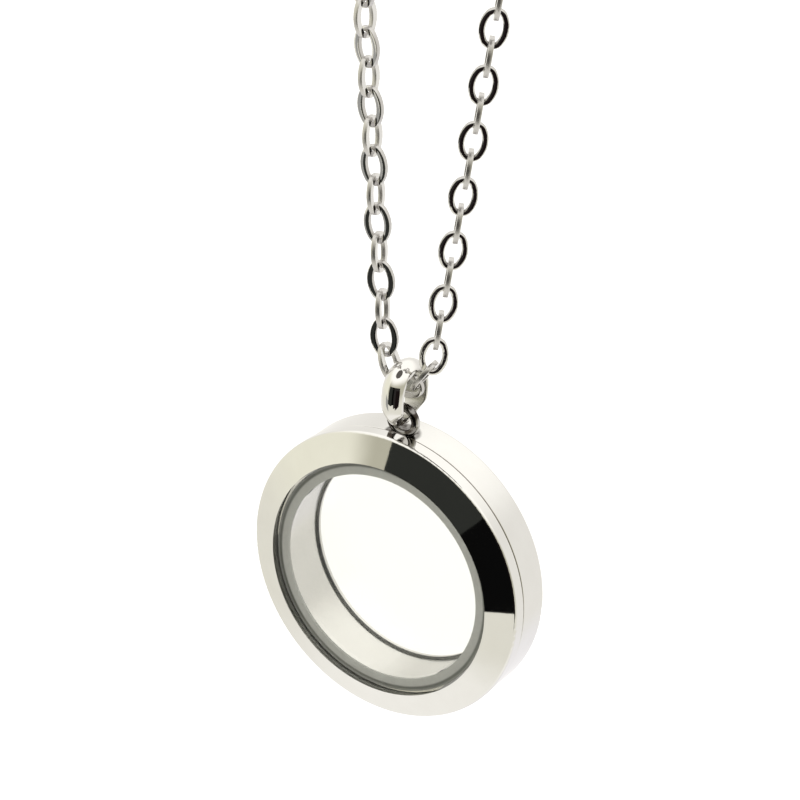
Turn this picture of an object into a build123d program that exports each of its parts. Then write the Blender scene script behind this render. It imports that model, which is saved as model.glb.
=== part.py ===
from build123d import *
import os
from math import atan2, cos, degrees, radians, sin

os.makedirs("parts", exist_ok=True)

# Locket case, millimetres. Depths run from the outer edge of the bevel towards the back.
CASE_RADIUS = 15.0
BEZEL_OVERHANG = 0.1
BEVEL_WIDTH = 2.85
BEVEL_RISE = 1.15
BEVEL_EDGE_ROUND = 0.3
SPLIT_DEPTH = 1.43
SPLIT_GAP = 0.12
SPLIT_CHAMFER = 0.1
CASE_DEPTH = 5.15
BACK_EDGE_ROUND = 0.35
FRONT_LIP = 1.45
CHAMBER_STEP = 0.3
BACK_LIP = 0.2

# Glass windows and their seals
GLASS_THICKNESS = 0.55
GLASS_CHAMFER = 0.12
GLASS_RECESS = 0.12
FRONT_GLASS_PLAY = 0.15
BACK_GLASS_PLAY = 0.06
SEAL_THICKNESS = 0.16
SEAT_GAP = 0.03
FLANGE_THICKNESS = 0.5
BACK_FLANGE_THICKNESS = 0.3

# Screw fit between the front bezel and the back case
NECK_WALL = 1.4
NECK_PLAY = 0.15
NECK_END_GAP = 0.06

# Soldered loop and bail
LOOP_RADIUS = 1.4
LOOP_WIRE = 0.85
LOOP_RISE = 1.32
BAIL_HOLE_HALF_HEIGHT = 2.45
BAIL_HOLE_HALF_DEPTH = 1.95
BAIL_HOLE_END_RADIUS = 1.9
BAIL_WIDTH = 2.4
BAIL_FOOT_WIDTH = 1.4
BAIL_EDGE = 0.35
BAIL_CROWN = 1.0
BAIL_SHOULDER = 1.1
BAIL_ON_LOOP_GAP = 0.08

# Chain link
LINK_LENGTH = 4.05
LINK_WIDTH = 2.75
LINK_END_RADIUS = 1.12
LINK_WIRE = 0.45
LINK_SIDE = 0.58
LINK_THICKNESS = 0.48
LINK_PLAY = 0.25

# Chain route, in the plane through the middle of the locket. Leans are degrees from upright.
CENTRE_LINK_DROP = 0.12
RISER_INSET = 0.48
RISER_SLACK = 0.29
LEFT_RISER_LEAN = 25.0
RIGHT_RISER_LEAN = 32.0
STRAND_LEAN = 7.0
STRAIGHT_LINKS = 63
ARC_LINKS = 12

# Turn of the flat of each link about the chain, degrees from facing the front
CENTRE_TWIST = 0.0
LEFT_RISER_TWIST = 0.0
RIGHT_RISER_TWIST = 4.0
LEFT_TWIST = 14.0
LEFT_TWIST_STEP = -2.0
RIGHT_TWIST = 32.0
TWISTED_LINKS = 13
UNTWIST_STEP = 3.0

# Clasp and its jump rings
CLASP_LENGTH = 10.0
CLASP_WIDTH = 4.2
CLASP_THICKNESS = 1.0
CLASP_RIM = 0.8
CLASP_EYE = 1.8
CLASP_CLAW_LENGTH = 4.4
CLASP_CLAW_HEIGHT = 2.4
CLASP_ROUND = 0.2
RING_INNER_DIAMETER = 2.4
RING_WIRE = 0.6
RING_PLAY = 0.4

# Worked-out sizes. Heights are above the centre of the locket.
bezel_radius = CASE_RADIUS + BEZEL_OVERHANG
bevel_inner_radius = bezel_radius - BEVEL_WIDTH
window_radius = bevel_inner_radius - FRONT_LIP
chamber_radius = window_radius + CHAMBER_STEP
back_window_radius = chamber_radius - BACK_LIP
neck_radius = chamber_radius + NECK_WALL
loop_height = CASE_RADIUS + LOOP_RISE
loop_wire_radius = LOOP_WIRE / 2
loop_inner_radius = LOOP_RADIUS - loop_wire_radius
foot_rise = (((loop_inner_radius - BAIL_ON_LOOP_GAP) ** 2) - (BAIL_FOOT_WIDTH / 2) ** 2) ** 0.5
bail_height = loop_height + foot_rise + BAIL_HOLE_HALF_HEIGHT
link_pitch = LINK_LENGTH - 2 * LINK_WIRE - LINK_PLAY
ring_pitch = RING_INNER_DIAMETER - RING_PLAY
clasp_half_span = CLASP_LENGTH / 2 - CLASP_RIM
mid_depth = (CASE_DEPTH - BEVEL_RISE) / 2


def step(start, side, lean, length):
    """The point one length on from start, leaning outward from upright towards side."""
    return (start[0] + side * length * sin(radians(lean)), start[1] + length * cos(radians(lean)))


def leans(bend):
    """Leans of the links of one strand, from the bail up to the clasp."""
    arc = [STRAND_LEAN - bend * count for count in range(1, ARC_LINKS + 1)]
    return [STRAND_LEAN] * STRAIGHT_LINKS + arc


def strand(start, side, bend):
    """Joints of one strand with its jump ring as the last step."""
    joints = [start]
    for lean in leans(bend):
        joints.append(step(joints[-1], side, lean, link_pitch))
    ring_lean = STRAND_LEAN - bend * (ARC_LINKS + 2)
    joints.append(step(joints[-1], side, ring_lean, ring_pitch))
    return joints


def closed_strand(start, side):
    """The strand whose arc is bent just enough to end at the clasp."""
    low, high = 2.0, 20.0
    for _ in range(60):
        bend = (low + high) / 2
        if side * strand(start, side, bend)[-1][0] > clasp_half_span:
            low = bend
        else:
            high = bend
    return strand(start, side, bend)


def twists(first, change):
    """Turns of the links of one strand: the part in view, then eased back to the front."""
    turn, turns = first, []
    for count in range(STRAIGHT_LINKS + ARC_LINKS):
        turns.append(turn + 90 * (count % 2))
        if count < TWISTED_LINKS:
            turn += change
        elif abs(turn) > UNTWIST_STEP:
            turn -= UNTWIST_STEP if turn > 0 else -UNTWIST_STEP
        else:
            turn = 0.0
    return turns


# Joints of the chain above the centre of the locket. The risers hook into the centre link.
centre_height = bail_height + BAIL_HOLE_HALF_HEIGHT - LINK_WIDTH / 2 - CENTRE_LINK_DROP
hook = (LINK_WIRE + LINK_PLAY) / 2
riser_seat = LINK_LENGTH / 2 - LINK_WIRE - RISER_INSET
left_seat = (-riser_seat, centre_height)
right_seat = (riser_seat, centre_height)
left_foot = step(left_seat, -1, LEFT_RISER_LEAN, hook)
right_foot = step(right_seat, 1, RIGHT_RISER_LEAN, hook)
left_head = step(left_foot, -1, LEFT_RISER_LEAN, link_pitch)
right_head = step(right_foot, 1, RIGHT_RISER_LEAN, link_pitch)
left_joints = closed_strand(step(left_head, -1, STRAND_LEAN, -RISER_SLACK), -1)
right_joints = closed_strand(step(right_head, 1, STRAND_LEAN, -RISER_SLACK), 1)
clasp_left, clasp_right = left_joints[-1], right_joints[-1]
clasp_height = (clasp_left[1] + clasp_right[1]) / 2
clasp_x = (clasp_left[0] + clasp_right[0]) / 2

# The origin is the underside of the clasp, so the locket's centre lies this far below it
drop = clasp_height - CLASP_WIDTH / 2
locket_centre = Vector(-clasp_x, -mid_depth, -drop)
locket_axis = Axis(locket_centre, (0, 1, 0))
profile_plane = Plane(locket_centre, x_dir=(0, 0, -1), z_dir=(1, 0, 0))


def facing_front(depth):
    """Plane across the locket at that depth, with its normal towards the front."""
    return Plane(locket_centre + Vector(0, depth, 0), z_dir=(0, -1, 0))


def chain_point(point):
    """Point of the chain's route in the frame of the necklace."""
    return Vector(point[0] - clasp_x, 0, point[1] - drop)


def link_plane(start, end, turn):
    """Plane of a flat link that runs from one joint to the next, turned about that line."""
    first, last = chain_point(start), chain_point(end)
    along = (last - first).normalized()
    across = Vector(along.Z, 0, -along.X)
    normal = Vector(0, -1, 0) * cos(radians(turn)) + across * sin(radians(turn))
    return Plane((first + last) / 2, x_dir=along, z_dir=normal)


def oval(half_long, half_short, end_radius):
    """Four tangent arcs, with the long axis along x."""
    side_radius = half_short ** 2 + half_long ** 2 - 2 * half_long * end_radius
    side_radius = side_radius / (2 * (half_short - end_radius))
    end_centre = half_long - end_radius
    side_centre = side_radius - half_short
    turn = degrees(atan2(side_centre, end_centre))
    swing = degrees(atan2(end_centre, side_centre))
    CenterArc((end_centre, 0), end_radius, -turn, 2 * turn)
    CenterArc((0, -side_centre), side_radius, 90 - swing, 2 * swing)
    CenterArc((-end_centre, 0), end_radius, 180 - turn, 2 * turn)
    CenterArc((0, side_centre), side_radius, 270 - swing, 2 * swing)


# Depths along the locket's axis
glass_front = GLASS_RECESS - BEVEL_RISE
glass_back = glass_front + GLASS_THICKNESS
seal_front = glass_back + SEAT_GAP
flange_front = seal_front + SEAL_THICKNESS + SEAT_GAP
flange_back = flange_front + FLANGE_THICKNESS
neck_front = flange_back + NECK_END_GAP
bezel_back = SPLIT_DEPTH - SPLIT_GAP / 2
case_front = SPLIT_DEPTH + SPLIT_GAP / 2
back_flange_front = CASE_DEPTH - BACK_FLANGE_THICKNESS
back_seal_front = back_flange_front - SEAT_GAP - SEAL_THICKNESS
back_glass_front = back_seal_front - SEAT_GAP - GLASS_THICKNESS

# Front bezel, a sloping ring with a seat for the glass and a skirt over the neck
with BuildPart() as front_bezel:
    with BuildSketch(profile_plane) as bezel_section:
        with BuildLine():
            Polyline(
                (bevel_inner_radius, -BEVEL_RISE),
                (bezel_radius, 0),
                (bezel_radius, bezel_back - SPLIT_CHAMFER),
                (bezel_radius - SPLIT_CHAMFER, bezel_back),
                (neck_radius + NECK_PLAY, bezel_back),
                (neck_radius + NECK_PLAY, flange_back),
                (window_radius, flange_back),
                (window_radius, flange_front),
                (bevel_inner_radius, flange_front),
                close=True,
            )
        make_face()
        bevel_edge = bezel_section.vertices().sort_by_distance((bezel_radius, 0, 0))[0]
        fillet(bevel_edge, BEVEL_EDGE_ROUND)
    revolve(axis=locket_axis)

# Front glass, a flat disc with a bevelled rim
with BuildPart() as front_glass:
    with BuildSketch(facing_front(glass_back)):
        Circle(bevel_inner_radius - FRONT_GLASS_PLAY)
    extrude(amount=GLASS_THICKNESS)
    chamfer(front_glass.faces().sort_by(Axis.Y)[0].edges(), GLASS_CHAMFER)

# Grey seal ring behind the front glass
with BuildPart() as front_seal:
    with BuildSketch(facing_front(seal_front + SEAL_THICKNESS)):
        Circle(bevel_inner_radius - FRONT_GLASS_PLAY)
        Circle(window_radius, mode=Mode.SUBTRACT)
    extrude(amount=SEAL_THICKNESS)

# Back case with its neck, chamber wall, back flange and the loop soldered to its top
with BuildPart() as back_case:
    with BuildSketch(profile_plane) as case_section:
        with BuildLine():
            Polyline(
                (chamber_radius, neck_front),
                (neck_radius, neck_front),
                (neck_radius, case_front),
                (CASE_RADIUS - SPLIT_CHAMFER, case_front),
                (CASE_RADIUS, case_front + SPLIT_CHAMFER),
                (CASE_RADIUS, CASE_DEPTH),
                (back_window_radius, CASE_DEPTH),
                (back_window_radius, back_flange_front),
                (chamber_radius, back_flange_front),
                close=True,
            )
        make_face()
        back_edge = case_section.vertices().sort_by_distance((CASE_RADIUS, CASE_DEPTH, 0))[0]
        fillet(back_edge, BACK_EDGE_ROUND)
    revolve(axis=locket_axis)
    with Locations(Plane((locket_centre.X, 0, loop_height - drop), z_dir=(0, -1, 0))):
        Torus(LOOP_RADIUS, loop_wire_radius)

# Back seal and back glass
with BuildPart() as back_seal:
    with BuildSketch(facing_front(back_flange_front - SEAT_GAP)):
        Circle(chamber_radius - BACK_GLASS_PLAY)
        Circle(back_window_radius, mode=Mode.SUBTRACT)
    extrude(amount=SEAL_THICKNESS)

with BuildPart() as back_glass:
    with BuildSketch(facing_front(back_glass_front + GLASS_THICKNESS)):
        Circle(chamber_radius - BACK_GLASS_PLAY)
    extrude(amount=GLASS_THICKNESS)
    chamfer(back_glass.faces().sort_by(Axis.Y)[0].edges(), GLASS_CHAMFER)

# Bail, a domed band bent round an oval hole and narrowed at its foot to pass the loop
bail_centre = Vector(locket_centre.X, 0, bail_height - drop)
with BuildPart() as bail:
    with BuildLine(Plane(bail_centre, x_dir=(0, 0, 1), z_dir=(1, 0, 0))) as bail_path:
        oval(BAIL_HOLE_HALF_HEIGHT, BAIL_HOLE_HALF_DEPTH, BAIL_HOLE_END_RADIUS)
    with BuildSketch(Plane(bail_path.line @ 0, x_dir=(1, 0, 0), z_dir=bail_path.line % 0)):
        with BuildLine():
            Polyline(
                (-BAIL_WIDTH / 2, BAIL_EDGE),
                (-BAIL_WIDTH / 2, 0),
                (BAIL_WIDTH / 2, 0),
                (BAIL_WIDTH / 2, BAIL_EDGE),
            )
            ThreePointArc((BAIL_WIDTH / 2, BAIL_EDGE), (0, BAIL_CROWN), (-BAIL_WIDTH / 2, BAIL_EDGE))
        make_face()
    sweep(path=bail_path.line)
    foot = -BAIL_HOLE_HALF_HEIGHT - BAIL_CROWN
    with BuildSketch(Plane(bail_centre, x_dir=(1, 0, 0), z_dir=(0, -1, 0))):
        for side in (-1, 1):
            with BuildLine():
                Polyline(
                    (side * BAIL_WIDTH / 2, -BAIL_SHOULDER),
                    (side * BAIL_FOOT_WIDTH / 2, -BAIL_HOLE_HALF_HEIGHT),
                    (side * BAIL_FOOT_WIDTH / 2, foot),
                    (side * BAIL_WIDTH, foot),
                    (side * BAIL_WIDTH, -BAIL_SHOULDER),
                    close=True,
                )
            make_face()
    extrude(amount=BAIL_HOLE_HALF_DEPTH + BAIL_CROWN, both=True, mode=Mode.SUBTRACT)

# Flat oval link, from which the whole chain is laid joint by joint
with BuildPart() as link:
    with BuildSketch():
        with BuildLine():
            oval(LINK_LENGTH / 2, LINK_WIDTH / 2, LINK_END_RADIUS)
        make_face()
        with BuildLine():
            oval(LINK_LENGTH / 2 - LINK_WIRE, LINK_WIDTH / 2 - LINK_SIDE, LINK_END_RADIUS - LINK_WIRE)
        make_face(mode=Mode.SUBTRACT)
    extrude(amount=LINK_THICKNESS / 2, both=True)

link_planes = [
    link_plane(left_foot, left_head, 90 + LEFT_RISER_TWIST),
    link_plane(left_seat, right_seat, CENTRE_TWIST),
    link_plane(right_foot, right_head, 90 + RIGHT_RISER_TWIST),
]
for joints, turns in (
    (left_joints, twists(LEFT_TWIST, LEFT_TWIST_STEP)),
    (right_joints, twists(RIGHT_TWIST, 0)),
):
    link_planes += [link_plane(*ends) for ends in zip(joints, joints[1:-1], turns)]

with BuildPart() as chain:
    with Locations(*link_planes):
        add(link.part)

# Plain clasp with an eye at one end and a claw opening at the other
clasp_line = chain_point(clasp_right) - chain_point(clasp_left)
with BuildPart() as clasp:
    with BuildSketch(Plane(chain_point((clasp_x, clasp_height)), x_dir=clasp_line, z_dir=(0, -1, 0))):
        SlotOverall(CLASP_LENGTH, CLASP_WIDTH)
        with Locations((clasp_half_span - CLASP_EYE / 2, 0)):
            Circle(CLASP_EYE / 2, mode=Mode.SUBTRACT)
        with Locations((CLASP_CLAW_LENGTH / 2 - clasp_half_span, 0)):
            SlotOverall(CLASP_CLAW_LENGTH, CLASP_CLAW_HEIGHT, mode=Mode.SUBTRACT)
    extrude(amount=CLASP_THICKNESS / 2, both=True)
    outer_rims = clasp.edges().filter_by(GeomType.CIRCLE).group_by(SortBy.RADIUS)[-1]
    chamfer(outer_rims, CLASP_ROUND)


def ring_plane(joints):
    """Plane of a jump ring: it holds the depth axis and runs from joint to joint."""
    return link_plane(joints[-2], joints[-1], 90)


with BuildPart() as jump_ring_left:
    with Locations(ring_plane(left_joints)):
        Torus((RING_INNER_DIAMETER + RING_WIRE) / 2, RING_WIRE / 2)

with BuildPart() as jump_ring_right:
    with Locations(ring_plane(right_joints)):
        Torus((RING_INNER_DIAMETER + RING_WIRE) / 2, RING_WIRE / 2)

pieces = {
    "front_bezel": front_bezel,
    "front_glass": front_glass,
    "front_seal": front_seal,
    "back_case": back_case,
    "back_seal": back_seal,
    "back_glass": back_glass,
    "bail": bail,
    "chain": chain,
    "clasp": clasp,
    "jump_ring_left": jump_ring_left,
    "jump_ring_right": jump_ring_right,
}
for name, piece in pieces.items():
    piece.part.label = name
    export_step(piece.part, f"parts/{name}.step")
    print(name, len(piece.part.solids()), round(piece.part.volume, 2))
print("drop", round(drop, 2), "bail height", round(bail_height, 3))
print("links", len(link_planes), "chain length", round(len(link_planes) * link_pitch, 1))
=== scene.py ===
from math import atan2, cos, pi, radians, sin

import bmesh
import bpy
from mathutils import Matrix, Vector


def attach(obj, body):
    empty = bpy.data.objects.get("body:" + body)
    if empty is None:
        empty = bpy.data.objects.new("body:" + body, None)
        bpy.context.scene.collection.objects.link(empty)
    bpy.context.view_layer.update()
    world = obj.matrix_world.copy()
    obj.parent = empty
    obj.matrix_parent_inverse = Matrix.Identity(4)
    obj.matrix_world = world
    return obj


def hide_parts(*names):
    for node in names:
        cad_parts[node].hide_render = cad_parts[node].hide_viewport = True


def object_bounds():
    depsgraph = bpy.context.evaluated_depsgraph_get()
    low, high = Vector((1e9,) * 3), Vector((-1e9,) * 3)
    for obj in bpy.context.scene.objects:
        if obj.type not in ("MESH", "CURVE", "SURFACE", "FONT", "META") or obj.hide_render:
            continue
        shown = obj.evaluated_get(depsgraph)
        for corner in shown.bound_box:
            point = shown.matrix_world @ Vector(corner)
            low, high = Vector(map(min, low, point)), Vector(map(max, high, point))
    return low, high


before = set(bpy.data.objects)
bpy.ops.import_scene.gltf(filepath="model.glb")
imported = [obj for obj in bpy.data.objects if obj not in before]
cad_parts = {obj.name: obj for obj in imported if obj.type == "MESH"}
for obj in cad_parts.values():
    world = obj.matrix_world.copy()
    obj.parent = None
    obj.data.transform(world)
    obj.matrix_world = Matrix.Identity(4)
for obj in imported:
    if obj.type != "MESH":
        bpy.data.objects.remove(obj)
solid_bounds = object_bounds()

MM = 0.001

# Chain link and the route of the chain, millimetres and degrees
LINK_LENGTH = 4.05
LINK_WIDTH = 2.75
LINK_END_RADIUS = 1.12
LINK_WIRE = 0.45
LINK_SIDE = 0.58
LINK_THICKNESS = 0.48
LINK_PLAY = 0.25
LINK_EDGE_ROUND = 0.04
CENTRE_LINK_DROP = 0.12
RISER_INSET = 0.48
RISER_SLACK = 0.29
LEFT_RISER_LEAN = 25.0
RIGHT_RISER_LEAN = 32.0
STRAND_LEAN = 7.0
STRAIGHT_LINKS = 63
ARC_LINKS = 12
LEAST_BEND = 2.0
MOST_BEND = 20.0
BEND_HALVINGS = 60
RIGHT_RISER_TWIST = 4.0
LEFT_TWIST = 14.0
LEFT_TWIST_STEP = -2.0
RIGHT_TWIST = 32.0
TWISTED_LINKS = 13
UNTWIST_STEP = 3.0

# Locket, bail and clasp
CASE_RADIUS = 15.0
CHAMBER_RADIUS = 11.1
SPLIT_DEPTH = 1.43
SPLIT_SHADOW = 0.13
LOOP_RISE = 1.32
LOOP_INNER_RADIUS = 0.975
BAIL_HOLE_HALF_HEIGHT = 2.45
BAIL_HOLE_HALF_DEPTH = 1.95
BAIL_HOLE_END_RADIUS = 1.9
BAIL_WIDTH = 2.4
BAIL_FOOT_WIDTH = 1.4
BAIL_EDGE = 0.35
BAIL_CROWN = 1.0
BAIL_SHOULDER = 1.1
BAIL_ON_LOOP_GAP = 0.08
BAIL_EDGE_ROUND = 0.12
CLASP_LENGTH = 10.0
CLASP_WIDTH = 4.2
CLASP_RIM = 0.8
RING_PITCH = 2.0
MID_DEPTH = 2.0

# Steps of the swept meshes, and how close two points of one may lie
LINK_TURN_STEPS = 40
LINK_EDGE_STEPS = 2
BAIL_TURN_STEPS = 96
BAIL_DOME_STEPS = 16
BAIL_EDGE_STEPS = 3
WELD_DISTANCE = 0.002

foot_rise = ((LOOP_INNER_RADIUS - BAIL_ON_LOOP_GAP) ** 2 - (BAIL_FOOT_WIDTH / 2) ** 2) ** 0.5
bail_height = CASE_RADIUS + LOOP_RISE + foot_rise + BAIL_HOLE_HALF_HEIGHT
link_pitch = LINK_LENGTH - 2 * LINK_WIRE - LINK_PLAY
clasp_half_span = CLASP_LENGTH / 2 - CLASP_RIM


def step(start, side, lean, length):
    """The point one length on from start, leaning outward from upright towards side."""
    return (start[0] + side * length * sin(radians(lean)), start[1] + length * cos(radians(lean)))


def strand(start, side, bend):
    """Joints of one strand with its jump ring as the last step."""
    joints = [start]
    arc = [STRAND_LEAN - bend * count for count in range(1, ARC_LINKS + 1)]
    for lean in [STRAND_LEAN] * STRAIGHT_LINKS + arc:
        joints.append(step(joints[-1], side, lean, link_pitch))
    joints.append(step(joints[-1], side, STRAND_LEAN - bend * (ARC_LINKS + 2), RING_PITCH))
    return joints


def closed_strand(start, side):
    """The strand whose arc is bent just enough to end at the clasp, found by halving."""
    low, high = LEAST_BEND, MOST_BEND
    for _ in range(BEND_HALVINGS):
        bend = (low + high) / 2
        if side * strand(start, side, bend)[-1][0] > clasp_half_span:
            low = bend
        else:
            high = bend
    return strand(start, side, bend)


def twists(first, change):
    """Turns of the links of one strand: the part in view, then eased back to the front."""
    turn, turns = first, []
    for count in range(STRAIGHT_LINKS + ARC_LINKS):
        turns.append(turn + 90 * (count % 2))
        if count < TWISTED_LINKS:
            turn += change
        elif abs(turn) > UNTWIST_STEP:
            turn -= UNTWIST_STEP if turn > 0 else -UNTWIST_STEP
        else:
            turn = 0.0
    return turns


centre_height = bail_height + BAIL_HOLE_HALF_HEIGHT - LINK_WIDTH / 2 - CENTRE_LINK_DROP
hook = (LINK_WIRE + LINK_PLAY) / 2
riser_seat = LINK_LENGTH / 2 - LINK_WIRE - RISER_INSET
left_foot = step((-riser_seat, centre_height), -1, LEFT_RISER_LEAN, hook)
right_foot = step((riser_seat, centre_height), 1, RIGHT_RISER_LEAN, hook)
left_head = step(left_foot, -1, LEFT_RISER_LEAN, link_pitch)
right_head = step(right_foot, 1, RIGHT_RISER_LEAN, link_pitch)
left_joints = closed_strand(step(left_head, -1, STRAND_LEAN, -RISER_SLACK), -1)
right_joints = closed_strand(step(right_head, 1, STRAND_LEAN, -RISER_SLACK), 1)
clasp_height = (left_joints[-1][1] + right_joints[-1][1]) / 2
clasp_x = (left_joints[-1][0] + right_joints[-1][0]) / 2
drop = clasp_height - CLASP_WIDTH / 2
locket_centre = Vector((-clasp_x, -MID_DEPTH, -drop)) * MM
bail_centre = Vector((-clasp_x, 0, bail_height - drop)) * MM


def chain_point(point):
    """Point of the chain's route in the frame of the necklace, in metres."""
    return Vector((point[0] - clasp_x, 0, point[1] - drop)) * MM


def link_place(start, end, turn):
    """Where a flat link lies that runs from one joint to the next, turned about that line."""
    first, last = chain_point(start), chain_point(end)
    along = (last - first).normalized()
    across = Vector((along.z, 0, -along.x))
    normal = Vector((0, -1, 0)) * cos(radians(turn)) + across * sin(radians(turn))
    axes = Matrix((along, normal.cross(along), normal)).transposed().to_4x4()
    return Matrix.Translation((first + last) / 2) @ axes


def oval_arcs(half_long, half_short, end_radius):
    """Centre and angle of each tangent arc of an oval, from its side at -y round by +x."""
    side_radius = half_short ** 2 + half_long ** 2 - 2 * half_long * end_radius
    side_radius = side_radius / (2 * (half_short - end_radius))
    end_centre = half_long - end_radius
    side_centre = side_radius - half_short
    end_turn = atan2(side_centre, end_centre)
    side_turn = pi / 2 - end_turn
    return (
        (Vector((0, side_centre, 0)), side_turn),
        (Vector((end_centre, 0, 0)), 2 * end_turn),
        (Vector((0, -side_centre, 0)), 2 * side_turn),
        (Vector((-end_centre, 0, 0)), 2 * end_turn),
        (Vector((0, side_centre, 0)), side_turn),
    )


def add_object(name, form):
    """Puts a bmesh into the scene as an object and frees it."""
    mesh = bpy.data.meshes.new(name)
    form.to_mesh(mesh)
    form.free()
    made = bpy.data.objects.new(name, mesh)
    bpy.context.scene.collection.objects.link(made)
    return made


def finish_piece(name, form, body, *nodes, material):
    """Turns a bmesh into a piece that rides on its body and stands for its solids."""
    bmesh.ops.recalc_face_normals(form, faces=form.faces)
    for face in form.faces:
        face.smooth = True
    piece = add_object(name, form)
    piece.data.materials.append(material)
    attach(piece, body)
    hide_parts(*nodes)
    return piece


# Steel: grain of the haze and how far it spreads the roughness, grain of the scratches, of
# the turned wall and of the painted shade round the loop's foot, and how dark that shade is
# where it is thinnest
HAZE_GRAIN = 420.0
HAZE_ROUGHNESS = 0.03
SCRATCH_GRAIN = 9000.0
LINK_SCRATCH_GRAIN = 14000.0
SCRATCH_STRETCH = (1.0, 0.12, 1.0)
TURNING_GRAIN = 700.0
TURNING_STRETCH = (0.4, 14.0, 0.4)
LOOP_SHADE_GRAIN = 1500.0
LOOP_SHADE_PATCHES = (0.4, 0.6)
LOOP_SHADE_LEAST = 0.7

# Dark and light tone of each steel, then the colours of its other parts: painted shade in the
# split line, painted shade and painted dark reflection round the loop's foot, painted shade
# inside the bail, and the links' own rim tone
CASE_TONES = ((0.70, 0.69, 0.67), (0.75, 0.745, 0.73))
BAIL_TONES = ((0.71, 0.70, 0.68), (0.77, 0.76, 0.745))
LINK_TONES = ((0.68, 0.67, 0.66), (0.77, 0.76, 0.75))
CLASP_TONES = ((0.69, 0.68, 0.67), (0.76, 0.75, 0.74))
SPLIT_PAINTED_SHADE = (0.18, 0.16, 0.14)
LOOP_FOOT_PAINTED_SHADE = (0.06, 0.05, 0.045)
BAIL_INSIDE_PAINTED_SHADE = (0.54, 0.53, 0.49)
LINK_RIM = (0.57, 0.555, 0.54)

# Where those parts end, millimetres, and the inside of the bail as a share of its hole
OUTER_WALL = CASE_RADIUS - 0.5
SATIN_RADIUS = CHAMBER_RADIUS + 0.1
LOOP_SHADE_FULL = 1.55
LOOP_SHADE_END = 1.95
BAIL_INSIDE_REACH = 1.07

# Seals: tone of the face, then bands from one radius to another with their tone
FRONT_SEAL_FACE = (0.56, 0.565, 0.545)
# The front seal's bands darken it towards the bezel: painted shade and painted dark reflection
FRONT_SEAL_SHADE_BANDS = (
    (11.52, 11.74, (0.15, 0.155, 0.14)),
    (11.80, 12.0, (0.29, 0.295, 0.28)),
)
BACK_SEAL_FACE = (0.03, 0.03, 0.03)
BACK_SEAL_BANDS = ((10.97, 11.03, (0.30, 0.30, 0.29)),)
SEAL_GRAIN = 2600.0
SEAL_PATCHES = (0.3, 0.7)
SEAL_PATCH_TONE = 0.94
SEAL_ROUGHNESS = 0.15

# Glass: seen straight through, at grazing angles, its smears, and its sheen face on
GLASS_CLEAR = (0.985, 0.985, 0.975, 1)
GLASS_SHEEN = (0.97, 0.98, 0.97, 1)
GLASS_SMEAR_GRAIN = 300.0
GLASS_REFLECTANCE = 0.04


class Value:
    """A shader socket whose operators add Math nodes."""

    def __init__(self, shader, socket):
        self.shader = shader
        self.socket = socket

    def _math(self, operation, other):
        return self.shader.node("ShaderNodeMath", {"operation": operation}, {0: self, 1: other})

    def __add__(self, other):
        return self._math("ADD", other)

    def __sub__(self, other):
        return self._math("SUBTRACT", other)

    def __mul__(self, other):
        return self._math("MULTIPLY", other)

    def power(self, other):
        return self._math("POWER", other)

    def over(self, edge):
        return self._math("GREATER_THAN", edge)

    def under(self, edge):
        return self._math("LESS_THAN", edge)

    def ramp(self, low, high, start=0.0, end=1.0):
        """Value that goes from start to end while this one goes from low to high."""
        return self.shader.node(
            "ShaderNodeMapRange",
            {"interpolation_type": "SMOOTHSTEP"},
            {"Value": self, "From Min": low, "From Max": high, "To Min": start, "To Max": end},
        )


def distance(first, second):
    """Length of the step with these two sides."""
    return (first * first + second * second).power(0.5)


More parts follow.
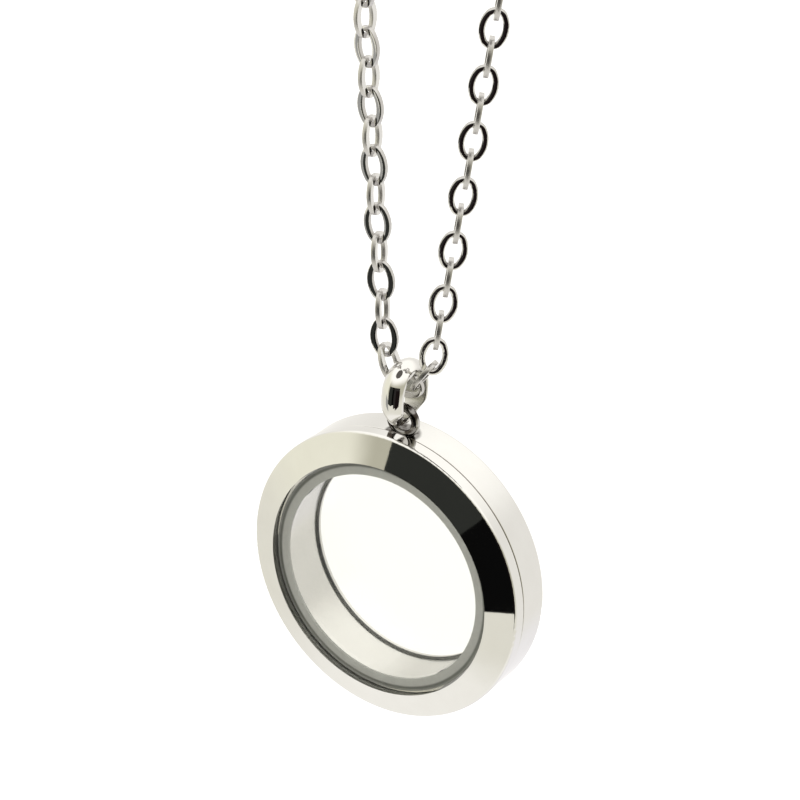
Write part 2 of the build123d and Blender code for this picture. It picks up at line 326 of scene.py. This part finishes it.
class Shader:
    """One material, or the world, with a method that adds any node."""

    def __init__(self, owner):
        owner.use_nodes = True
        self.owner = owner
        self.tree = owner.node_tree
        self.tree.nodes.clear()

    def node(self, kind, settings=None, inputs=None, output=0):
        """Adds a node and returns one output of it. An input is a value or another output."""
        made = self.tree.nodes.new(kind)
        for name, setting in (settings or {}).items():
            setattr(made, name, setting)
        for name, value in (inputs or {}).items():
            if isinstance(value, Value):
                self.tree.links.new(value.socket, made.inputs[name])
            else:
                made.inputs[name].default_value = value
        return Value(self, made.outputs[output])

    def axis(self, vector, name):
        return self.node("ShaderNodeSeparateXYZ", inputs={0: vector}, output=name)

    def place(self):
        return self.node("ShaderNodeTexCoord", output="Object")

    def off(self, name, centre=0.0):
        """How far a point lies from a centre along one axis."""
        return self.axis(self.place(), name) - centre

    def radius(self):
        """Distance from the locket's axis."""
        return distance(self.off("X", locket_centre.x), self.off("Z", locket_centre.z))

    def in_split(self):
        """One in the split line between the bezel and the case, where shade is painted, and nought
        elsewhere.
        """
        depth = self.off("Y", locket_centre.y + SPLIT_DEPTH * MM)
        return (depth * depth).under((SPLIT_SHADOW * MM) ** 2) * self.radius().over(OUTER_WALL * MM)

    def in_bail_hole(self):
        """One on the inside of the bail, where it is satin with painted shade, and nought
        elsewhere.
        """
        depth = self.off("Y") * (1 / (BAIL_HOLE_HALF_DEPTH * MM))
        height = self.off("Z", bail_centre.z) * (1 / (BAIL_HOLE_HALF_HEIGHT * MM))
        return (depth * depth + height * height).under(BAIL_INSIDE_REACH ** 2)

    def on_link_rim(self):
        """One on the rims of the links, and nought on their flats."""
        return self.node("ShaderNodeAttribute", {"attribute_name": "rim"}, output="Fac")

    def noise(self, grain, detail=2.0, stretch=(1, 1, 1)):
        place = self.node(
            "ShaderNodeVectorMath", {"operation": "MULTIPLY"}, {0: self.place(), 1: stretch}
        )
        return self.node(
            "ShaderNodeTexNoise", inputs={"Vector": place, "Scale": grain, "Detail": detail}
        )

    def bump(self, height, strength, depth):
        return self.node(
            "ShaderNodeBump", inputs={"Strength": strength, "Distance": depth, "Height": height}
        )

    def blend(self, factor, first, second):
        """Mix of two colours, each an output or three numbers."""
        first, second = (c if isinstance(c, Value) else (*c, 1) for c in (first, second))
        return self.node(
            "ShaderNodeMix", {"data_type": "RGBA"}, {0: factor, 6: first, 7: second}, output=2
        )

    def surface(self, **inputs):
        """Principled surface, with the names of its inputs written with underscores."""
        inputs = {name.replace("_", " "): value for name, value in inputs.items()}
        return self.node("ShaderNodeBsdfPrincipled", inputs=inputs)

    def show(self, surface, kind="ShaderNodeOutputMaterial"):
        output = self.tree.nodes.new(kind)
        self.tree.links.new(surface.socket, output.inputs["Surface"])
        return self.owner


def new_material(name):
    return Shader(bpy.data.materials.new(name))


def polished_steel(
    name, tones, roughness, grain=SCRATCH_GRAIN, where=None, shade=None, satin=0.0
):
    """Mirror-polished steel with faint haze and hair-fine scratches, and where asked another tone
    with satin: painted shade in the bezel's split line, painted shade inside the satin bail, and
    the links' own tone on their satin rims.
    """
    shader = new_material(name)
    haze = shader.noise(HAZE_GRAIN, detail=3.0)
    hairs = shader.noise(grain, stretch=SCRATCH_STRETCH)
    bump = shader.bump(hairs, strength=0.02, depth=0.01 * MM)
    colour = shader.blend(haze, *tones)
    rough = haze * HAZE_ROUGHNESS + (roughness - HAZE_ROUGHNESS / 2)
    if where:
        mask = where(shader)
        colour = shader.blend(mask, colour, shade)
        rough = rough + mask * satin
    return shader.show(
        shader.surface(Base_Color=colour, Metallic=1.0, Roughness=rough, Normal=bump)
    )


def case_steel(name, tones, roughness, satin):
    """Polished steel, its chamber wall satin, with painted shade in its split line and painted
    shade and painted dark reflection round its loop's foot.
    """
    shader = new_material(name)
    radius = shader.radius()
    inside = radius.under(SATIN_RADIUS * MM)
    haze = shader.noise(HAZE_GRAIN, detail=3.0)
    turning = shader.noise(TURNING_GRAIN, stretch=TURNING_STRETCH)
    # Painted shade and painted dark reflection round the loop's foot, in mottled patches
    from_loop = distance(shader.off("X", locket_centre.x), shader.off("Y"))
    loop_foot = from_loop.ramp(LOOP_SHADE_FULL * MM, LOOP_SHADE_END * MM, start=1.0, end=0.0)
    loop_foot = loop_foot * radius.over(OUTER_WALL * MM)
    loop_shade = shader.noise(LOOP_SHADE_GRAIN).ramp(*LOOP_SHADE_PATCHES, start=LOOP_SHADE_LEAST) * loop_foot
    bump = shader.bump(turning * inside, strength=0.08, depth=0.02 * MM)
    # Painted shade in the split line between the bezel and the case
    colour = shader.blend(shader.in_split(), shader.blend(haze, *tones), SPLIT_PAINTED_SHADE)
    # Painted shade and painted dark reflection round the loop's foot
    colour = shader.blend(loop_shade, colour, LOOP_FOOT_PAINTED_SHADE)
    rough = haze * HAZE_ROUGHNESS + inside * satin + (roughness - HAZE_ROUGHNESS / 2)
    return shader.show(
        shader.surface(Base_Color=colour, Metallic=1.0, Roughness=rough, Normal=bump)
    )


def banded_seal(name, face, bands, roughness):
    """Satin ring whose tone changes in bands, by the distance from the locket's axis."""
    shader = new_material(name)
    mottle = shader.noise(SEAL_GRAIN, detail=4.0)
    bump = shader.bump(mottle, strength=0.15, depth=0.02 * MM)
    radius = shader.radius()
    patch = [SEAL_PATCH_TONE * tone for tone in face]
    colour = shader.blend(mottle.ramp(*SEAL_PATCHES), patch, face)
    for first, last, tone in bands:
        colour = shader.blend(radius.ramp(first * MM, last * MM), colour, tone)
    rough = mottle * SEAL_ROUGHNESS + roughness
    return shader.show(shader.surface(Base_Color=colour, Roughness=rough, Normal=bump))


def window(name):
    """Clear flat glass: seen straight through, with a mirror's sheen at grazing angles."""
    shader = new_material(name)
    smear = shader.noise(GLASS_SMEAR_GRAIN, detail=3.0)
    clear = shader.node("ShaderNodeBsdfTransparent", inputs={"Color": GLASS_CLEAR})
    sheen = shader.surface(Base_Color=GLASS_SHEEN, Metallic=1.0, Roughness=smear * 0.02 + 0.005)
    facing = shader.node("ShaderNodeLayerWeight", inputs={"Blend": 0.5}, output="Facing")
    share = facing.power(5.0) * (1 - GLASS_REFLECTANCE) + GLASS_REFLECTANCE
    return shader.show(
        shader.node("ShaderNodeMixShader", inputs={0: share, 1: clear, 2: sheen})
    )


# The bezel gets painted shade in its split line
bezel_finish = polished_steel(
    "polished_bezel", CASE_TONES, roughness=0.03, where=Shader.in_split, shade=SPLIT_PAINTED_SHADE
)
case_finish = case_steel("polished_case", CASE_TONES, roughness=0.045, satin=0.16)
# The inside of the bail is satin, and painted shade darkens its tone there
bail_finish = polished_steel(
    "polished_bail",
    BAIL_TONES,
    roughness=0.04,
    where=Shader.in_bail_hole,
    shade=BAIL_INSIDE_PAINTED_SHADE,
    satin=0.2,
)
link_finish = polished_steel(
    "polished_links",
    LINK_TONES,
    roughness=0.07,
    grain=LINK_SCRATCH_GRAIN,
    where=Shader.on_link_rim,
    shade=LINK_RIM,
    satin=0.28,
)
clasp_finish = polished_steel("polished_clasp", CLASP_TONES, roughness=0.06)
front_seal_finish = banded_seal(
    "grey_seal", FRONT_SEAL_FACE, FRONT_SEAL_SHADE_BANDS, roughness=0.45
)
back_seal_finish = banded_seal("dark_seal", BACK_SEAL_FACE, BACK_SEAL_BANDS, roughness=0.4)
window_finish = window("clear_window")

for node, finish in {
    "front_bezel": bezel_finish,
    "front_glass": window_finish,
    "front_seal": front_seal_finish,
    "back_case": case_finish,
    "back_seal": back_seal_finish,
    "back_glass": window_finish,
    "clasp": clasp_finish,
    "jump_ring_left": clasp_finish,
    "jump_ring_right": clasp_finish,
}.items():
    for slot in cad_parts[node].material_slots:
        slot.material = finish


def round_corners(form, corners, radius, steps):
    """Rounds corners of a flat outline."""
    bmesh.ops.bevel(
        form,
        geom=corners,
        offset=radius,
        offset_type="OFFSET",
        segments=steps,
        profile=0.5,
        affect="VERTICES",
        material=-1,
    )


def swept_oval(form, arcs, steps_per_turn):
    """Spins the outline that the form holds round the arcs of an oval and closes it."""
    geometry = list(form.verts) + list(form.edges)
    for centre, turn in arcs:
        steps = max(2, round(steps_per_turn * turn / (2 * pi)))
        spun = bmesh.ops.spin(
            form,
            geom=geometry,
            cent=centre,
            axis=(0, 0, 1),
            angle=turn,
            steps=steps,
            use_merge=False,
        )
        geometry = spun["geom_last"]
    bmesh.ops.remove_doubles(form, verts=form.verts, dist=WELD_DISTANCE * MM)


def link_form():
    """One flat oval link with softened edges, its long axis along x."""
    form = bmesh.new()
    inner = form.verts.layers.float.new("inner")
    rim = form.verts.layers.float.new("rim")
    corners = bmesh.ops.create_grid(form, x_segments=1, y_segments=1, size=0.5)["verts"]
    for corner in corners:
        corner.co = (0, corner.co.x * LINK_WIRE * MM, corner.co.y * LINK_THICKNESS * MM)
    round_corners(form, corners, LINK_EDGE_ROUND * MM, LINK_EDGE_STEPS)
    bmesh.ops.delete(form, geom=list(form.faces), context="FACES_ONLY")
    for vert in form.verts:
        vert[inner] = vert.co.y / (LINK_WIRE * MM) + 0.5
        vert[rim] = min(1, (LINK_THICKNESS / 2 - abs(vert.co.z) / MM) / LINK_EDGE_ROUND)
    middle = (LINK_WIDTH - LINK_WIRE) / 2 * MM
    bmesh.ops.translate(form, verts=form.verts, vec=(0, -middle, 0))
    end_radius = (LINK_END_RADIUS - LINK_WIRE / 2) * MM
    arcs = oval_arcs((LINK_LENGTH - LINK_WIRE) / 2 * MM, middle, end_radius)
    swept_oval(form, arcs, LINK_TURN_STEPS)
    widening = 1 - (LINK_WIDTH / 2 - LINK_SIDE) / (LINK_WIDTH / 2 - LINK_WIRE)
    for vert in form.verts:
        vert.co.y *= 1 - vert[inner] * widening
    return form


def bail_form():
    """Domed band round an oval hole, its long axis along x, narrowed at the end at -x."""
    form = bmesh.new()
    section = bmesh.ops.create_grid(form, x_segments=BAIL_DOME_STEPS, y_segments=1, size=0.5)
    for vert in section["verts"]:
        across, outward = 2 * vert.co.x, vert.co.y + 0.5
        dome = BAIL_EDGE + (BAIL_CROWN - BAIL_EDGE) * (1 - across ** 2)
        vert.co = (0, -outward * dome * MM, across * BAIL_WIDTH / 2 * MM)
    corners = [vert for vert in form.verts if len(vert.link_edges) == 2]
    round_corners(form, corners, BAIL_EDGE_ROUND * MM, BAIL_EDGE_STEPS)
    bmesh.ops.dissolve_faces(form, faces=form.faces)
    bmesh.ops.delete(form, geom=list(form.faces), context="FACES_ONLY")
    half_height, half_depth = BAIL_HOLE_HALF_HEIGHT * MM, BAIL_HOLE_HALF_DEPTH * MM
    bmesh.ops.translate(form, verts=form.verts, vec=(0, -half_depth, 0))
    arcs = oval_arcs(half_height, half_depth, BAIL_HOLE_END_RADIUS * MM)
    swept_oval(form, arcs, BAIL_TURN_STEPS)
    for vert in form.verts:
        below = (-vert.co.x / MM - BAIL_SHOULDER) / (BAIL_HOLE_HALF_HEIGHT - BAIL_SHOULDER)
        share = min(max(below, 0), 1)
        share = share * share * (3 - 2 * share)
        vert.co.z *= 1 - share * (1 - BAIL_FOOT_WIDTH / BAIL_WIDTH)
    return form


link_places = [
    link_place(left_foot, left_head, 90),
    link_place((-riser_seat, centre_height), (riser_seat, centre_height), 0),
    link_place(right_foot, right_head, 90 + RIGHT_RISER_TWIST),
]
for joints, turns in (
    (left_joints, twists(LEFT_TWIST, LEFT_TWIST_STEP)),
    (right_joints, twists(RIGHT_TWIST, 0)),
):
    link_places += [link_place(*ends) for ends in zip(joints, joints[1:-1], turns)]

one_link = link_form()
link_mesh = bpy.data.meshes.new("one_link")
one_link.to_mesh(link_mesh)
one_link.free()
chain_form = bmesh.new()
for place in link_places:
    first = len(chain_form.verts)
    chain_form.from_mesh(link_mesh)
    chain_form.verts.ensure_lookup_table()
    bmesh.ops.transform(chain_form, matrix=place, verts=chain_form.verts[first:])
bpy.data.meshes.remove(link_mesh)
cable_chain = finish_piece("cable_chain", chain_form, "necklace", "chain", material=link_finish)
flat_shading = cable_chain.modifiers.new("flat_shading", "WEIGHTED_NORMAL")
flat_shading.weight = 100

band = bail_form()
upright = Matrix(((0, 0, 1), (0, 1, 0), (1, 0, 0))).to_4x4()
bail_place = Matrix.Translation(bail_centre) @ upright
bmesh.ops.transform(band, matrix=bail_place, verts=band.verts)
domed_bail = finish_piece("domed_bail", band, "bail", "bail", material=bail_finish)

# Camera, turned and rolled to the view of the photograph
CAMERA_AZIMUTH = 32.0
CAMERA_ELEVATION = 28.71
CAMERA_ROLL = 3.18
CAMERA_DISTANCE = 386.0
CAMERA_LENS = 180.0
CAMERA_SENSOR = 36.0
CAMERA_CLIP = 10.0
TARGET_ACROSS = 0.64
TARGET_UP = 17.0

azimuth, elevation = radians(CAMERA_AZIMUTH), radians(CAMERA_ELEVATION)
right = Vector((cos(azimuth), sin(azimuth), 0))
back = Vector((sin(azimuth) * cos(elevation), -cos(azimuth) * cos(elevation), sin(elevation)))
up = back.cross(right)
target = locket_centre + (right * TARGET_ACROSS + up * TARGET_UP) * MM
camera_data = bpy.data.cameras.new("camera")
camera_data.lens = CAMERA_LENS
camera_data.sensor_width = CAMERA_SENSOR
camera_data.clip_start = CAMERA_CLIP * MM
camera = bpy.data.objects.new("camera", camera_data)
bpy.context.scene.collection.objects.link(camera)
camera_place = Matrix.Translation(target + back * CAMERA_DISTANCE * MM)
axes = Matrix((right, up, back)).transposed().to_4x4()
camera.matrix_world = camera_place @ axes @ Matrix.Rotation(radians(CAMERA_ROLL), 4, "Z")
bpy.context.scene.camera = camera

# Cards that the polish reflects, metres. The edges of a front card are slopes from the
# locket's centre: left, right, bottom and top.
CARD_DISTANCE = 0.45
LEFT_CARD = (-0.52, 0.09, -0.57, 0.35)
MIDDLE_CARD = (0.09, 0.33, -0.54, 0.35)
RIGHT_CARD = (0.33, 1.2, -0.74, 0.35)
GREY_CARD = (-1.4, -0.52, -1.0, -0.42)
NEAR_CARD_PLACE = Vector((54, -60, -6)) * MM
NEAR_CARD_SIZE = (0.036, 0.062)
OVERHEAD = Vector((0.10, -0.33, 0.94))
OVERHEAD_SIZE = (0.34, 0.28)
LEFT_TONE = (0.034, 0.036, 0.032)
MIDDLE_TONE = (0.004, 0.004, 0.004)
RIGHT_TONE = (0.030, 0.027, 0.026)
GREY_TONE = (0.42, 0.42, 0.40)
NEAR_TONE = (0.012, 0.008, 0.008)
OVERHEAD_TONE = (0.14, 0.13, 0.12)
ACROSS = Vector((1, 0, 0))
UPWARD = Vector((0, 0, 1))


def card(name, middle, upward, width, height, tone, oval=False):
    """Flat card of even light or dark, seen only in reflections and as light."""
    form = bmesh.new()
    if oval:
        corners = bmesh.ops.create_circle(form, cap_ends=True, segments=24, radius=0.5)["verts"]
    else:
        corners = bmesh.ops.create_grid(form, x_segments=1, y_segments=1, size=0.5)["verts"]
    for corner in corners:
        corner.co = middle + ACROSS * corner.co.x * width + upward * corner.co.y * height
    made = add_object(name, form)
    shader = new_material(name)
    glow = shader.node("ShaderNodeEmission", inputs={"Color": (*tone, 1), "Strength": 1.0})
    made.data.materials.append(shader.show(glow))
    made.visible_camera = False
    made.visible_transmission = False
    made.visible_shadow = False


def front_card(name, edges, tone):
    """Card square to the view from the front, given by the slopes of its edges."""
    first, last, bottom, top = edges
    middle = Vector(((first + last) / 2, -1, (bottom + top) / 2)) * CARD_DISTANCE
    width, height = (last - first) * CARD_DISTANCE, (top - bottom) * CARD_DISTANCE
    card(name, locket_centre + middle, UPWARD, width, height, tone)


front_card("dark_card_left", LEFT_CARD, LEFT_TONE)
front_card("dark_card_middle", MIDDLE_CARD, MIDDLE_TONE)
front_card("dark_card_right", RIGHT_CARD, RIGHT_TONE)
card("dark_card_near", locket_centre + NEAR_CARD_PLACE, UPWARD, *NEAR_CARD_SIZE, NEAR_TONE)
front_card("grey_card_left", GREY_CARD, GREY_TONE)
card(
    "dark_card_overhead",
    locket_centre + OVERHEAD * CARD_DISTANCE,
    OVERHEAD.cross(ACROSS).normalized(),
    *OVERHEAD_SIZE,
    OVERHEAD_TONE,
    oval=True,
)

# Pale floor, metres
FLOOR_RADIUS = 4.0
FLOOR_DEPTH = 0.3
FLOOR_TONE = (0.5, 0.5, 0.5, 1)
FLOOR_GLOW = 0.6

floor_form = bmesh.new()
bmesh.ops.create_circle(floor_form, cap_ends=True, segments=64, radius=FLOOR_RADIUS)
floor_height = solid_bounds[0][2] - FLOOR_DEPTH
bmesh.ops.translate(floor_form, verts=floor_form.verts, vec=(0, 0, floor_height))
floor = add_object("floor", floor_form)
floor_shader = new_material("pale_floor")
floor_surface = floor_shader.surface(
    Base_Color=FLOOR_TONE,
    Roughness=0.9,
    Emission_Color=(1, 1, 1, 1),
    Emission_Strength=FLOOR_GLOW,
)
floor.data.materials.append(floor_shader.show(floor_surface))
floor.visible_glossy = False

# Studio round the locket, seen in its polish: cream wall in front, white behind and above
CREAM_WALL = (1.08, 1.06, 0.90)
WALL_BY_CARD = (0.62, 0.60, 0.48)
FRONT_LOW = (0.97, 0.95, 0.85)
TABLE = (1.16, 1.14, 1.08)
REAR = (1.04, 1.02, 0.97)
REAR_TABLE = (1.05, 1.03, 1.04)
CEILING = (1.40, 1.38, 1.32)

# Where one tone passes into the next: heights and depths of the direction, and its bearing
BY_CARD_BEARING = (-0.75, -0.55)
BY_CARD_HEIGHT = (-0.6, -0.3)
TABLE_EDGE = (-0.88, -0.66)
WALL_FOOT = (-0.5, -0.12)
REAR_TABLE_EDGE = (-0.68, -0.5)
REAR_START = (-0.1, 0.35)
CEILING_START = (0.25, 0.7)

world = bpy.data.worlds.new("studio")
bpy.context.scene.world = world
sky = Shader(world)
direction = sky.node("ShaderNodeTexCoord", output="Generated")
height = sky.axis(direction, "Z")
depth = sky.axis(direction, "Y")
bearing = sky.node(
    "ShaderNodeMath", {"operation": "ARCTAN2"}, {0: sky.axis(direction, "X"), 1: depth * -1.0}
)
beside_card = bearing.ramp(*BY_CARD_BEARING) * height.ramp(*BY_CARD_HEIGHT)
wall = sky.blend(beside_card, CREAM_WALL, WALL_BY_CARD)
front = sky.blend(height.ramp(*TABLE_EDGE), TABLE, FRONT_LOW)
front = sky.blend(height.ramp(*WALL_FOOT), front, wall)
rear = sky.blend(height.ramp(*REAR_TABLE_EDGE), REAR_TABLE, REAR)
around = sky.blend(depth.ramp(*REAR_START), front, rear)
tone = sky.blend(height.ramp(*CEILING_START), around, CEILING)
background = sky.node("ShaderNodeBackground", inputs={"Color": tone, "Strength": 1.0})
sky.show(background, "ShaderNodeOutputWorld")

bpy.context.scene.view_settings.view_transform = "Standard"
